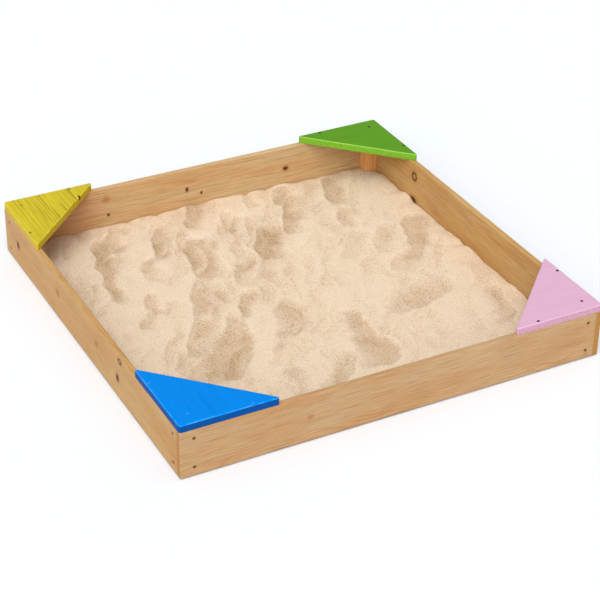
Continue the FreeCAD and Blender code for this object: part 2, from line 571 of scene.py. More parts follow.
        # The pith line wanders slowly, over a third of a metre. A place's distance from it,
        # in ring gaps, says how far the place is through a year's growth.
        slow = add_node(tree, "VectorMath", {0: own, 1: (0.003, 0.008, 0.008)},
                        operation="MULTIPLY")
        stray = add_node(tree, "TexNoise", {
            "Vector": slow, "Scale": 1.0, "Detail": 2.0, "Roughness": 0.45}, out="Color")
        stray = add_node(tree, "VectorMath", {
            0: stray, 1: (0.0, self.wander, self.wander),
            2: (0.0, *(-self.wander / 2.0 - middle for middle in self.pith))},
            operation="MULTIPLY_ADD")
        log = add_node(tree, "VectorMath", {0: own, 1: stray}, operation="ADD")
        across = add_node(tree, "VectorMath", {0: log, 1: (0.0, 1.0, 1.0)},
                          operation="MULTIPLY")
        radius = add_node(tree, "VectorMath", {0: across}, out="Value", operation="LENGTH")
        radius = add_node(tree, "Math", {0: radius, 1: bend}, operation="ADD")
        year = add_node(tree, "Math", {0: radius, 1: self.ring_gap}, operation="DIVIDE")
        year = add_node(tree, "Math", {0: year}, operation="FRACT")
        rings = add_node(tree, "ValToRGB", {"Fac": year}, (
            (0.0, "#101010"), (0.45, "#202020"), (0.80, "#D0D0D0"), (0.90, "#FFFFFF"),
            (1.0, "#101010")), out="Color")

        # Fibres are some 0.1 mm wide; drawn 1.5 mm wide and 80 mm long so that they show.
        # Patches are 50 mm wide and 250 mm long. Resin ducts are dashes 1 mm wide and 15 to
        # 30 mm long. Each is noise, as cells per mm on each axis, layers and roughness.
        fibres, patches, ducts = (add_node(tree, "TexNoise", {
            "Vector": add_node(tree, "VectorMath", {0: own, 1: cells}, operation="MULTIPLY"),
            "Scale": 1.0, "Detail": layers, "Roughness": rough})
            for cells, layers, rough in (((0.012, 0.7, 0.7), 3.0, 0.6),
                                         ((0.004, 0.02, 0.02), 3.0, 0.55),
                                         ((0.05, 0.9, 0.9), 1.0, 0.5)))
        fibres = add_node(tree, "ValToRGB", {"Fac": fibres}, (
            (0.28, "#C8BAA6"), (0.50, "#F2EDE6"), (0.72, "#FFFFFF")), out="Color")
        patches = add_node(tree, "MapRange", {
            "Value": patches, "From Min": 0.35, "From Max": 0.68})
        ducts = add_node(tree, "MapRange", {
            "Value": ducts, "From Min": 0.70, "From Max": 0.80, "To Max": 0.5})
        return rings, fibres, patches, ducts

    def knot_colour(self, tree: Tree, colour: Socket, near: Mapping[KnotKind, Socket]
                    ) -> Socket:
        """Lays the knots over the wood's colour, each in a stain of its resin.

        Args:
            tree: the node tree.
            colour: the wood's colour.
            near: distance to the nearest knot of each kind.

        Returns:
            The colour with knots.
        """
        for kind, distance in near.items():
            look = KNOT_LOOKS[kind]
            stain = add_node(tree, "MapRange", {
                "Value": distance, "From Min": 2.2, "From Max": 0.8, "To Min": 0.0,
                "To Max": look.stain}, **SMOOTH)
            core = add_node(tree, "Math", {0: distance, 1: 1.5}, operation="DIVIDE")
            core = add_node(tree, "ValToRGB", {"Fac": core}, look.stops, out="Color")
            for share, shade in ((stain, self.knot_colours[1]),
                                 (core, self.knot_colours[look.colour])):
                colour = add_node(tree, "Mix", {0: share, 6: colour, 7: linear(shade)}, **MIXED)
        return colour


@dataclass(frozen=True)
class WoodPaint:
    """Water-based satin paint, brushed thin over planed pine: an even colour with faint
    streaks along the grain, lighter along the upper edges from wear and a painted
    highlight, and with painted light and shade on the sides."""

    name: str
    top: str
    streak: str
    # Colour of the sides: painted shade of the top's colour on the blue, lilac and yellow seats,
    # and painted light on the green one.
    side: str
    arris_wear_and_highlight: str
    turns: int = 0                  # quarter turns that bring the grain along x
    line_share: float = 0.45        # how strongly the sunken grain lines show
    arris_wear_and_highlight_share: float = 0.5             # share of the upper arris that is lighter, from wear and a painted highlight
    gloss: float = 0.08             # specular level, low in so thin a paint
    # Near black inside the split: painted shade in its depth.
    split_shade: str = "#1E1608"

    def build(self) -> bpy.types.Material:
        """Builds the node material.

        Returns:
            The material.
        """
        material, tree = start_material(self.name)
        place = add_node(tree, "TexCoord", out="Object")
        own = add_node(tree, "Mapping", {
            "Vector": place, "Rotation": (0.0, 0.0, -QUARTER * self.turns), "Scale": TO_MM})
        line, side, arris, split = (
            add_node(tree, "Attribute", out="Fac", attribute_name=fact)
            for fact in ("grain_line", "side", "arris", "split"))
        line = add_node(tree, "Math", {0: line, 1: self.line_share}, operation="MULTIPLY")

        # Brush marks and grain, some 3 mm wide and 120 mm long.
        drawn = add_node(tree, "VectorMath", {0: own, 1: (0.008, 0.35, 0.35)},
                         operation="MULTIPLY")
        brushed = add_node(tree, "TexNoise", {
            "Vector": drawn, "Scale": 1.0, "Detail": 4.0, "Roughness": 0.6})
        streak = add_node(tree, "MapRange", {
            "Value": brushed, "From Min": 0.40, "From Max": 0.72, "To Max": 0.55})
        # The sawn sides drink the paint unevenly, in blotches of some 5 mm.
        blotch = add_node(tree, "TexNoise", {
            "Vector": own, "Scale": 0.22, "Detail": 3.0, "Roughness": 0.6})
        blotch = add_node(tree, "MapRange", {
            "Value": blotch, "From Min": 0.35, "From Max": 0.65, "To Min": 0.86,
            "To Max": 1.14})
        # The sides' colour, which holds painted light and shade, varied by the blotches.
        side_blotch_light_and_shade = add_node(tree, "VectorMath", {0: linear(self.side)[:3], "Scale": blotch},
                               operation="SCALE")
        # Lighter patches of some 30 mm along the arris: paint thinned by hands and feet, and a
        # painted highlight on the edge.
        arris_wear_and_highlight_mask = add_node(tree, "TexNoise", {
            "Vector": own, "Scale": 0.035, "Detail": 4.0, "Roughness": 0.6})
        arris_wear_and_highlight_mask = add_node(tree, "MapRange", {
            "Value": arris_wear_and_highlight_mask, "From Min": 0.67 - 0.5 * self.arris_wear_and_highlight_share,
            "From Max": 0.91 - 0.5 * self.arris_wear_and_highlight_share})
        arris_wear_and_highlight_mask = add_node(tree, "Math", {0: arris, 1: arris_wear_and_highlight_mask}, operation="MULTIPLY")

        colour: Socket | tuple[float, ...] = linear(self.top)
        for share, over in ((streak, linear(self.streak)), (line, linear(self.streak)),
                            (side, side_blotch_light_and_shade), (arris_wear_and_highlight_mask, linear(self.arris_wear_and_highlight)),
                            (split, linear(self.split_shade))):
            colour = add_node(tree, "Mix", {0: share, 6: colour, 7: over}, **MIXED)
        bump = add_node(tree, "Bump", {"Strength": 0.3, "Distance": 0.0003, "Height": brushed})
        shader = add_node(tree, "BsdfPrincipled", {
            "Base Color": colour, "Roughness": 0.42, "Normal": bump, "IOR": 1.45,
            "Specular IOR Level": self.gloss})
        add_node(tree, "OutputMaterial", {"Surface": shader})
        return material


@dataclass(frozen=True)
class DrySand:
    """Dry washed play sand, pale and matte: tan in the hollows, partly where coarser brown
    grains gather and partly as painted shade, with painted shade on the steep sides of the
    ripples and painted highlight on the crests."""

    name: str = "washed_play_sand"
    crest: str = "#E2CDB3"
    hollow: str = "#B99A78"
    brown: str = "#7C5C3C"

    def build(self) -> bpy.types.Material:
        """Builds the node material.

        Returns:
            The material.
        """
        material, tree = start_material(self.name)
        place = add_node(tree, "TexCoord", out="Object")
        # The tone fact holds painted shade in the hollows and on steep ripple sides, and painted
        # highlight on the crests.
        deep = add_node(tree, "Attribute", out="Fac", attribute_name="hollow")

        # Grains are 0.3 to 0.8 mm; drawn 2 to 3 mm across so that they show.
        grains = add_node(tree, "TexNoise", {
            "Vector": place, "Scale": 420.0, "Detail": 2.0, "Roughness": 0.7})
        spread = add_node(tree, "Math", {0: grains, 1: 2.3, 2: -1.15}, operation="MULTIPLY_ADD")
        tone = add_node(tree, "Math", {0: deep, 1: spread}, operation="ADD", use_clamp=True)
        colour = add_node(tree, "Mix", {0: tone, 6: linear(self.crest), 7: linear(self.hollow)},
                          **MIXED)
        specks = add_node(tree, "TexNoise", {
            "Vector": place, "Scale": 330.0, "Detail": 1.0, "Roughness": 0.6})
        specks = add_node(tree, "MapRange", {
            "Value": specks, "From Min": 0.56, "From Max": 0.68, "To Max": 0.9})
        gathered = add_node(tree, "MapRange", {
            "Value": deep, "From Min": 0.1, "From Max": 0.9, "To Min": 0.36, "To Max": 1.0})
        specks = add_node(tree, "Math", {0: specks, 1: gathered}, operation="MULTIPLY")
        colour = add_node(tree, "Mix", {0: specks, 6: colour, 7: linear(self.brown)}, **MIXED)
        bump = add_node(tree, "Bump", {"Strength": 0.6, "Distance": 0.0012, "Height": grains})
        shader = add_node(tree, "BsdfPrincipled", {
            "Base Color": colour, "Roughness": 0.95, "Normal": bump, "IOR": 1.45,
            "Specular IOR Level": 0.25})
        add_node(tree, "OutputMaterial", {"Surface": shader})
        return material


@dataclass(frozen=True)
class ZincPlate:
    """Steel screws, zinc plated and dulled: warm grey metal, mottled. The seat screws in
    two of the corners were painted over with their seats."""

    name: str
    dull: str
    bright: str
    painted: tuple[tuple[float, float, str], ...] = ()   # corner's way in x and y, colour
    corner_reach: float = 0.8       # m, beyond which x and y added up lie in that corner

    def build(self) -> bpy.types.Material:
        """Builds the node material.

        Returns:
            The material.
        """
        material, tree = start_material(self.name)
        place = add_node(tree, "TexCoord", out="Object")
        mottle = add_node(tree, "TexNoise", {"Vector": place, "Scale": 900.0, "Detail": 2.0})
        colour = add_node(tree, "ValToRGB", {"Fac": mottle}, (
            (0.3, self.dull), (0.7, self.bright)), out="Color")
        rough = add_node(tree, "MapRange", {"Value": mottle, "To Min": 0.35, "To Max": 0.6})
        metal: Socket | float = 1.0
        for way_x, way_y, paint in self.painted:
            along = add_node(tree, "VectorMath", {0: place, 1: (way_x, way_y, 0.0)},
                             out="Value", operation="DOT_PRODUCT")
            here = add_node(tree, "Math", {0: along, 1: self.corner_reach},
                            operation="GREATER_THAN")
            colour = add_node(tree, "Mix", {0: here, 6: colour, 7: linear(paint)}, **MIXED)
            metal = add_node(tree, "Math", {0: metal, 1: here}, operation="SUBTRACT")
        shader = add_node(tree, "BsdfPrincipled", {
            "Base Color": colour, "Metallic": metal, "Roughness": rough})
        add_node(tree, "OutputMaterial", {"Surface": shader})
        return material


# ------------------------------------------------------------------ the frame
@dataclass(frozen=True)
class Countersink:
    """The seat that a screw's head presses into wood: straight for the head's rim, then a
    cone down to the shank, in mm."""

    head_radius: float
    shank_radius: float = 1.95
    sunk: float = 0.9
    cone: float = 2.4

    def depth(self, away: np.ndarray) -> np.ndarray:
        """How deep the wood is pushed in.

        Args:
            away: distance from the screw's axis.

        Returns:
            The depth, which is nothing outside the head.
        """
        slope = (self.head_radius - np.clip(away, self.shank_radius, self.head_radius)) / (
            self.head_radius - self.shank_radius)
        return np.where(away < self.head_radius, self.sunk + self.cone * slope, 0.0)


@dataclass
class Board:
    """A board on edge: a rounded rectangle carried along the board's length, with the
    countersunk screw seats pushed into its outer face, each ringed with painted shade. Sizes
    in mm."""

    side: Side
    finish: PlanedPine
    arris: float = 1.5              # rounding of the long edges
    end_round: float = 1.1
    seat: Countersink = Countersink(3.75)
    screw_heights: tuple[float, float] = (22.0, 97.5)
    screw_insets: tuple[float, float] = (34.0, 36.0)   # covering end, covered end
    seat_ring_shade_width: float = 1.6             # width of the painted shade round a screw
    wear: float = 1.4               # most that an edge is rubbed down
    wear_cell: tuple[float, float] = (60.0, 200.0)     # along and up the board

    def build(self) -> None:
        """Builds the board: each station along its length carries the same rounded
        rectangle, moved in and scaled down at the ends."""
        label = self.side.name.lower()
        node = f"{label}_board"
        corners = quarter_turned(np.array(node_box(node)), -self.side.value)
        low, high = corners.min(axis=0), corners.max(axis=0)
        # The end that covers its neighbour reaches the frame's corner.
        reach = max(-low[0], high[0])
        marks_x = (self.screw_insets[0] - reach, reach - self.screw_insets[1])
        profile = rounded_loop(low[1:], high[1:], self.arris, self.screw_heights)
        stations = refined(low[0] + self.end_round, high[0] - self.end_round, marks_x)
        points, end = capped_sweep(profile, stations, low[0], high[0], self.end_round,
                                   (high[1] - low[1]) / 2.0)
        seat_ring_shade = self.press_screws(points, low[1], marks_x)
        self.wear_edges(points, low, high)
        make_piece(f"{label}_pine_board", quarter_turned(points, self.side.value),
                   [grid_quads(*points.shape[:2])], self.finish.build(), node,
                   {"end_grain": end, "seat_ring_shade": seat_ring_shade})

    def press_screws(self, points: np.ndarray, face: float, marks_x: Sequence[float]
                     ) -> np.ndarray:
        """Presses a countersink into the outer face at each screw, and rings it with painted
        shade.

        Args:
            points: the board's points, changed in place.
            face: where the outer face is.
            marks_x: the screws' places along the board.

        Returns:
            How much painted shade each point gets round the screws, from 0 to 1.
        """
        outer = points[..., 1] < face + 0.3
        seat_ring_shade = np.zeros(points.shape[:2])
        for x, z in product(marks_x, self.screw_heights):
            away = np.hypot(points[..., 0] - x, points[..., 2] - z)
            points[..., 1] += np.where(outer, self.seat.depth(away), 0.0)
            # Painted shade round and under each head, for the shadow of the screw's seat.
            near = 1.0 - eased((away - self.seat.head_radius) / self.seat_ring_shade_width)
            seat_ring_shade += np.where(outer, near, 0.0)
        return seat_ring_shade

    def wear_edges(self, points: np.ndarray, low: np.ndarray, high: np.ndarray) -> None:
        """Rubs the long edges down a little, more in some places than in others.

        Args:
            points: the board's points, changed in place.
            low: lowest corner of the board.
            high: highest corner of the board.
        """
        offset = points - (low + high) / 2.0
        over = np.abs(offset[..., 1:]) - ((high - low)[1:] / 2.0 - self.arris)
        near = np.clip(over.min(axis=-1) / self.arris, 0.0, 1.0)
        patchy = layered_noise(points[..., 0] / self.wear_cell[0],
                               points[..., 2] / self.wear_cell[1], 5 + self.side.value)
        arris_wear_and_highlight_mask = near * np.clip(patchy + 0.1, 0.0, 1.0) * self.wear
        points[..., 1:] -= np.sign(offset[..., 1:]) * arris_wear_and_highlight_mask[..., None]


@dataclass
class Post:
    """A square corner post: a chamfered square swept up its height. Sizes in mm."""

    corner: Corner
    finish: PlanedPine
    chamfer: float = 1.5
    end_round: float = 0.6

    def build(self) -> None:
        """Builds the post, as a sweep along x that is then stood upright."""
        label = self.corner.name.lower()
        low, high = node_box(f"post_{label}")
        profile = rounded_loop(low[:2], high[:2], self.chamfer, ())
        stations = np.linspace(low[2] + self.end_round, high[2] - self.end_round, 31)
        points, end = capped_sweep(profile, stations, low[2], high[2], self.end_round,
                                   (high[0] - low[0]) / 2.0)
        make_piece(f"{label}_pine_post", points[..., [1, 2, 0]],
                   [grid_quads(*points.shape[:2])], self.finish.build(),
                   f"post_{label}", {"end_grain": end})


@dataclass(frozen=True)
class Grain:
    """Grain that stands out in a seat's top: valleys of soft spring wood between raised
    lines, which come and go and wander a little. Sizes in mm."""

    along_y: bool = False           # before the seat is turned; otherwise along x
    relief: float = 0.15
    gap: float = 9.0
    width: float = 0.17             # share of the gap
    # Bands across the grain: middle, half width and strength.
    bands: tuple[tuple[float, float, float], ...] = ((118.0, 400.0, 1.0),)

    def valleys(self, points: np.ndarray, seed: int) -> np.ndarray:
        """How deep each point lies in a valley: a bell across each line, at uneven gaps,
        times a strength that changes from line to line and band to band.

        Args:
            points: the seat's points before it is turned.
            seed: picks the random values.

        Returns:
            0 on the lines to 1 in the valleys.
        """
        along, across = (points[..., k] for k in ((1, 0) if self.along_y else (0, 1)))
        across = across + 3.5 * smooth_noise(along / 120.0, across / 60.0, seed)
        place = across / self.gap
        place = place + 0.8 * smooth_noise(place * 0.37, along * 0.0, seed + 3)
        line = np.floor(place)
        strength = 0.55 + 0.9 * smooth_noise(line * 1.7 + 0.5, along / 160.0, seed + 7)
        strength = np.clip(strength, 0.0, 1.0) * sum(
            share * np.exp(-((across - middle) / half) ** 4)
            for middle, half, share in self.bands)
        return strength * np.exp(-((place - line - 0.5) / self.width) ** 2)


@dataclass
class Seat:
    """A three-cornered seat with blunt tips: rings carried from the middle of its
    underside, round its edges, to the middle of its top. Sizes in mm."""

    corner: Corner
    slot: str
    finish: WoodPaint
    grain: Grain = Grain()
    # Splits in the top: x, y, half length and half width.
    splits: tuple[tuple[float, float, float, float], ...] = ()
    leg: float = 236.0
    tip: float = 5.0
    corner_round: float = 7.0
    tip_round: float = 3.2
    top_round: float = 2.5
    bottom_round: float = 1.0
    middle: tuple[float, float] = (68.0, 68.0)
    seat: Countersink = Countersink(3.9)
    screw_places: tuple[tuple[float, float], ...] = ((35.0, 35.0), (175.0, 7.5), (7.5, 175.0))
    split_depth: float = 2.0
    rub_depth: float = 0.9          # most that the rim is rubbed down
    rub_reach: float = 3.0          # inwards from the edge
    rub_cell: float = 40.0          # size of the rubbed patches
    edge_counts: tuple[int, ...] = (150, 4, 210, 4, 150)   # points along each edge
    arc_count: int = 7              # points round each corner

    def outline(self, inset: float) -> np.ndarray:
        """The seat's outline, moved inwards: straight runs between rounded corners.

        Args:
            inset: how far in from the outer edge.

        Returns:
            Points round the outline, anticlockwise, from the frame's corner.
        """
        root = math.sqrt(0.5)
        # Each edge as the line a x + b y = c, with its outward direction a, b.
        edges = np.array([
            (0.0, -1.0, -inset), (1.0, 0.0, self.leg - inset),
            (root, root, (self.leg + self.tip) / math.sqrt(2.0) - inset),
            (0.0, 1.0, self.leg - inset), (-1.0, 0.0, -inset)])
        before = np.roll(edges, 1, axis=0)
        corners = np.array([np.linalg.solve(np.array([a[:2], b[:2]]), np.array([a[2], b[2]]))
                            for a, b in zip(before, edges)])
        radii = np.maximum(np.array([self.corner_round] + [self.tip_round] * 4) - inset, 0.3)
        # How far the outline turns at each corner, and how much of each edge that takes.
        turns = [math.acos(float(np.clip(a[:2] @ b[:2], -1.0, 1.0)))
                 for a, b in zip(before, edges)]
        cuts = [radius * math.tan(turn / 2.0) for radius, turn in zip(radii, turns)]
        points = []
        for k, count in enumerate(self.edge_counts):
            ahead = (k + 1) % len(edges)
            step = edges[k][:2] @ np.array([[0.0, 1.0], [-1.0, 0.0]])
            start, stop = corners[k] + step * cuts[k], corners[ahead] - step * cuts[ahead]
            centre = start - edges[k][:2] * radii[k]
            angle = math.atan2(*before[k][1::-1]) + np.linspace(0.0, turns[k], self.arc_count)
            points.append(centre + radii[k] * np.stack([np.cos(angle), np.sin(angle)], axis=-1))
            share = np.linspace(0.0, 1.0, count + 2)[1:-1, None]
            points.append(start * (1 - share) + stop * share)
        return np.concatenate(points)

    def build(self) -> None:
        """Builds the seat from its rings."""
        label = self.corner.name.lower()
        low, high = node_box(f"seat_{label}")
        bottom, top = low[2], high[2]
        foot, rim, middle = (self.outline(self.bottom_round), self.outline(self.top_round),
                             np.array(self.middle))
        quarter = np.linspace(0.0, QUARTER, 6)
        rings = [(middle + (foot - middle) * s, bottom) for s in np.linspace(0.0, 1.0, 12)[:-1]]
        rings += [(self.outline(self.bottom_round * (1.0 - math.sin(angle))),
                   bottom + self.bottom_round * (1.0 - math.cos(angle)))
                  for angle in quarter[:-1]]
        rings += [(self.outline(0.0), z) for z in np.linspace(
            bottom + self.bottom_round, top - self.top_round, 9)]
        sides = len(rings)
        rings += [(self.outline(self.top_round * (1.0 - math.cos(angle))),
                   top - self.top_round * (1.0 - math.sin(angle))) for angle in quarter[1:]]
        rounds = len(rings)
        rings += [(middle + (rim - middle) * s, top) for s in np.linspace(1.0, 0.0, 62)[1:]]
        points = np.stack([np.concatenate([ring, np.full((len(ring), 1), z)], axis=-1)
                           for ring, z in rings])

        # The side fact gives the sides their own colour, as painted light and shade.
        side, arris, on_top = np.zeros((3,) + points.shape[:2])
        side[:sides] = 1.0
        # The arris fact peaks mid-way round the top rounding, where the wear and the painted
        # highlight show.
        arris[sides:rounds] = np.sin(2.0 * quarter[1:])[:, None] ** 0.6
        on_top[sides + 2:] = 1.0
        valleys = self.grain.valleys(points, 40 + self.corner.value) * on_top
        points[..., 2] -= valleys * self.grain.relief
        # A split, sunk into the top and coloured near black as painted shade.
        split = sum((np.exp(-((points[..., 0] - x) / long) ** 2
                            - ((points[..., 1] - y) / wide) ** 2)
                     for x, y, long, wide in self.splits), np.zeros(points.shape[:2]))
        split[:sides - 4] = 0.0
        self.rub_edges(points, top)
        for x, y in self.screw_places:
            depth = self.seat.depth(np.hypot(points[..., 0] - x, points[..., 1] - y))
            points[..., 2] -= np.where(points[..., 2] > top - 2.0, depth, 0.0)
        points[..., 2] -= self.split_depth * split * on_top
        points[..., :2] -= max(abs(low[0]), abs(high[0]))
        make_piece(f"{label}_painted_seat", quarter_turned(points, self.corner.value),
                   [grid_quads(*points.shape[:2])], self.finish.build(),
                   f"seat_{label}", {"side": side, "arris": arris, "grain_line": valleys,
                                     "split": np.clip(2.0 * split, 0.0, 1.0)})

    def rub_edges(self, points: np.ndarray, top: float) -> None:
        """Lowers the rim unevenly, as sanding by hand leaves it: less and less with the
        distance from the edge, and in patches.

        Args:
            points: the seat's points before it is turned, changed in place.
            top: height of the top.
        """
        x, y = points[..., 0], points[..., 1]
        inner = np.minimum(np.minimum(x, y), ((self.leg + self.tip) - x - y) / math.sqrt(2.0))
        near = np.exp(-np.clip(inner, 0.0, None) / self.rub_reach) * (points[..., 2] > top - 3.0)
        patchy = layered_noise(x / self.rub_cell, y / self.rub_cell, 60 + self.corner.value)
        points[..., 2] -= near * np.clip(patchy + 0.2, 0.0, 1.0) * self.rub_depth


# ------------------------------------------------------------------ the sand
@dataclass(frozen=True)
class Hollow:
    """A scooped hollow in the sand, in mm: its middle, half length along its turn, reach to
    its left and right, turn in degrees, and depth as a share. Its left lip is steep, and
    the sand rises gently from there to its right."""

    x: float
    y: float
    half_length: float
    left: float
    right: float
    turn: float
    depth: float

    def shape(self, x: np.ndarray, y: np.ndarray) -> np.ndarray:
        """The hollow's share of its depth: across it, a quick fall inside the left lip and
        a slow rise to the right, and along it a level stretch between soft ends. The lip
        bulges outwards in the middle by the square of the place along it.

        Args:
            x: places.
            y: places.

        Returns:
            0 outside to 1 at the bottom.
        """
        angle = math.radians(self.turn)
        along = (x - self.x) * math.cos(angle) + (y - self.y) * math.sin(angle)
        across = -(x - self.x) * math.sin(angle) + (y - self.y) * math.cos(angle)
        reach = np.abs(along) / self.half_length
        inside = (self.left - across - 0.35 * self.left * reach ** 2) / (self.left + self.right)
        fall = eased(inside / 0.16)
        rise = 1.0 - eased((inside - 0.40) / 0.75)
        return fall * rise * eased((1.25 - reach) / 0.55)


@dataclass
class Sand:
    """The layer of sand: a height over the plane on a square grid, with walls down to the
    ground, and a notch round each post. Sizes in mm."""

    finish: DrySand
    gap: float = 0.4
    level: float = 14.6
    lowest: float = 2.5
    lines: int = 269                # grid lines between the posts
    edge_lines: int = 10            # and beside them, up to each wall
    warp: float = 13.0              # how far the hollows' outlines are pulled about
    warp_cell: float = 48.0
    drift: float = 64.0             # way that ripples and lips run, in degrees
    lip_width: float = 9.0          # of the sand pushed up beside a hollow
    tooth_gap: float = 44.0         # between the lesser ripples
    ripple_cell: tuple[float, float] = (150.0, 55.0)   # along and across the drift
    fine_cell: tuple[float, float] = (30.0, 15.0)
    hollow_depth: float = 7.5
    rim_height: float = 1.8
    tooth_depth: float = 1.8
    ripple_height: float = 2.8
    fine_height: float = 0.9
    bank_low: float = 5.0
    bank_rise: float = 13.0
    wall: float = 525.0             # inner face of the boards
    bank: float = 26.0              # reach of the change in level at a wall
    hollows: tuple[Hollow, ...] = tuple(Hollow(*row) for row in (
        (-286, 450, 62, 30, 34, 62, 1.0), (-338, 410, 60, 20, 26, 70, 0.7),
        (-366, 290, 110, 18, 22, 80, 0.8), (-380, 215, 60, 22, 20, 84, 0.6),
        (-128, 262, 98, 30, 60, 76, 1.0), (58, 266, 76, 24, 56, 62, 1.0),
        (174, 330, 62, 24, 34, 66, 0.7), (212, 400, 60, 20, 24, 60, 0.45),
        (362, 440, 84, 36, 44, 64, 0.8), (-52, 474, 70, 26, 32, 64, 0.65),
        (126, 486, 44, 16, 18, 76, 0.6), (206, 470, 50, 20, 26, 64, 0.6),
        (22, 402, 60, 18, 22, 66, 0.4), (-178, 378, 80, 20, 24, 64, 0.65),
        (-258, 266, 60, 26, 30, 66, 0.5), (-318, 130, 36, 18, 20, 58, 0.6),
        (-350, 50, 48, 30, 30, 50, 0.6), (-198, 98, 84, 28, 32, 64, 0.8),
        (-276, -66, 84, 28, 30, 58, 0.65), (-240, -186, 96, 48, 62, 236, 1.0),
        (-146, -214, 50, 14, 18, 54, 0.35), (78, -316, 62, 46, 52, 250, 0.75),
        (-48, -352, 78, 26, 30, 218, 0.55), (98, -206, 76, 22, 40, 262, 0.45),
        (298, -140, 98, 50, 50, 200, 0.45), (262, 150, 70, 30, 36, 50, 0.25),
        (350, 150, 74, 26, 34, 60, 0.3), (444, 150, 72, 30, 44, 64, 0.85),
        (404, 66, 66, 24, 28, 232, 0.4), (340, 26, 60, 24, 30, 40, 0.3),
        (446, -272, 84, 32, 32, 250, 0.5), (318, 290, 50, 28, 30, 60, 0.4),
        (-106, 14, 50, 24, 24, 60, 0.5), (-60, 140, 60, 22, 26, 64, 0.35),
        (-42, -104, 72, 32, 42, 242, 0.4), (-188, -82, 62, 30, 36, 236, 0.55)))

    def height(self, x: np.ndarray, y: np.ndarray) -> tuple[np.ndarray, np.ndarray]:
        """Height of the sand: a mean level, less the hollows, plus drawn-out ripples and
        fine unevenness, going over to a ragged bank at the walls.

        Args:
            x: places.
            y: places.

        Returns:
            The height, and the tone: how far each place is in a hollow, with painted shade on
            the steep sides of the ripples and painted highlight on the crests.
        """
        bent_x, bent_y = (v + self.warp * layered_noise(x / self.warp_cell, y / self.warp_cell,
                                                        seed)
                          for v, seed in ((x, 71), (y, 83)))
        sine, cosine = math.sin(math.radians(self.drift)), math.cos(math.radians(self.drift))
        deep, ahead = (1.0 - np.exp(-1.5 * sum(
            h.depth * h.shape(bent_x + step * sine, bent_y - step * cosine)
            for h in self.hollows)) for step in (0.0, self.lip_width))
        # Sand pushed up to the left of each steep lip.
        rim = np.clip(ahead - deep, 0.0, 1.0)
        along = bent_x * cosine + bent_y * sine
        across = -bent_x * sine + bent_y * cosine
        ripple, fine = (layered_noise(along / cell[0], across / cell[1], seed)
                        for cell, seed in ((self.ripple_cell, 11), (self.fine_cell, 23)))

        # Lesser ripples: a saw tooth across, steep on the left, that comes and goes.
        phase = across / self.tooth_gap + 1.1 * layered_noise(x / 120.0, y / 120.0, 47, 2)
        tooth = phase - np.floor(phase)
        strength = eased(0.5 + 1.3 * layered_noise(along / 70.0, np.floor(phase) * 1.7, 53, 2))
        lip = strength * eased((1.0 - tooth) / 0.22) * tooth
        # The sand lies smoother towards the right and front.
        calm = 1.0 - 0.45 * eased((x - 0.6 * y + 150.0) / 350.0)
        lip, ripple, fine = calm * lip, calm * ripple, calm * fine
        height = (self.level + self.rim_height * rim - self.hollow_depth * deep
                  - self.tooth_depth * lip + self.ripple_height * ripple
                  + self.fine_height * fine)

        inward = self.wall - np.maximum(np.abs(x), np.abs(y))
        at_wall = np.exp(-np.clip(inward, 0.0, None) / self.bank)
        ragged = np.abs(layered_noise(x / 80.0, y / 80.0, 31, 2))
        height = height * (1.0 - at_wall) + at_wall * (self.bank_low + self.bank_rise * ragged)
        # The tone: hollows darker, partly from coarser brown grains and partly as painted shade;
        # the steep sides of the lesser ripples darker as painted shade; the crests and the sand
        # pushed up beside each lip lighter as painted highlight.
        shade = 0.78 * deep + 0.42 * lip - 0.20 * rim - 0.42 * ripple - 0.14 * fine + 0.04
        return np.maximum(height, self.lowest), np.clip(shade, 0.0, 1.0)

    def build(self) -> None:
        """Builds the sand as one closed mesh: the surface, walls below its rim, and a fan
        of triangles underneath."""
        notch = node_box("post_back_right")[0][0] - self.gap
        inner = np.linspace(-notch, notch, self.lines)
        outer = np.linspace(notch, node_box("sand_fill")[1][0], self.edge_lines + 1)[1:]
        lines = np.concatenate([-outer[::-1], inner, outer])
        x, y = np.meshgrid(lines, lines)
        z, shade = self.height(x, y)
        points = np.stack([x, y, z], axis=-1).reshape(-1, 3)
        quads = grid_quads(len(lines), len(lines), wrap=False)
        middle = points[quads].mean(axis=1)
        quads = quads[np.minimum(np.abs(middle[:, 0]), np.abs(middle[:, 1])) < notch]

        # An edge on the rim is one that no neighbouring face runs back along.
        edges = np.concatenate([quads[:, [k, (k + 1) % 4]] for k in range(4)])
        count = len(points)
        codes, back = edges[:, 0] * count + edges[:, 1], edges[:, 1] * count + edges[:, 0]
        rim_edges = edges[~np.isin(codes, back)]
        used, rim = np.unique(quads), np.unique(rim_edges)
        number, number_low = np.full(count, -1), np.full(count, -1)
        number[used] = np.arange(len(used))
        number_low[rim] = len(used) + np.arange(len(rim))
        first, second = rim_edges[:, 0], rim_edges[:, 1]
        walls = np.stack([number[second], number[first], number_low[first],
                          number_low[second]], axis=-1)
        centre = np.full(len(first), len(used) + len(rim))
        fan = np.stack([number_low[second], number_low[first], centre], axis=-1)
        make_piece("play_sand", np.concatenate([points[used], points[rim] * (1.0, 1.0, 0.0),
                                                [[0.0, 0.0, 0.0]]]),
                   [number[quads], walls, fan], self.finish.build(), "sand_fill",
                   {"hollow": np.concatenate([shade.reshape(-1)[used],
                                              np.ones(len(rim) + 1)])})


# ------------------------------------------------------------------ the studio
@dataclass(frozen=True)
class SoftLight:
    """A large soft light, far off: its strength in W/m2, how wide it looks from the sandbox
    in degrees, and the way that it shines."""

    name: str
    strength: float
    width: float
    way: tuple[float, float, float]

    def build(self) -> None:
        """Builds the light."""
        data = bpy.data.lights.new(self.name, "SUN")
        data.energy = self.strength
        data.angle = math.radians(self.width)
        light = bpy.data.objects.new(self.name, data)
        light.matrix_world = Vector(self.way).to_track_quat("-Z", "Y").to_matrix().to_4x4()
        bpy.context.scene.collection.objects.link(light)


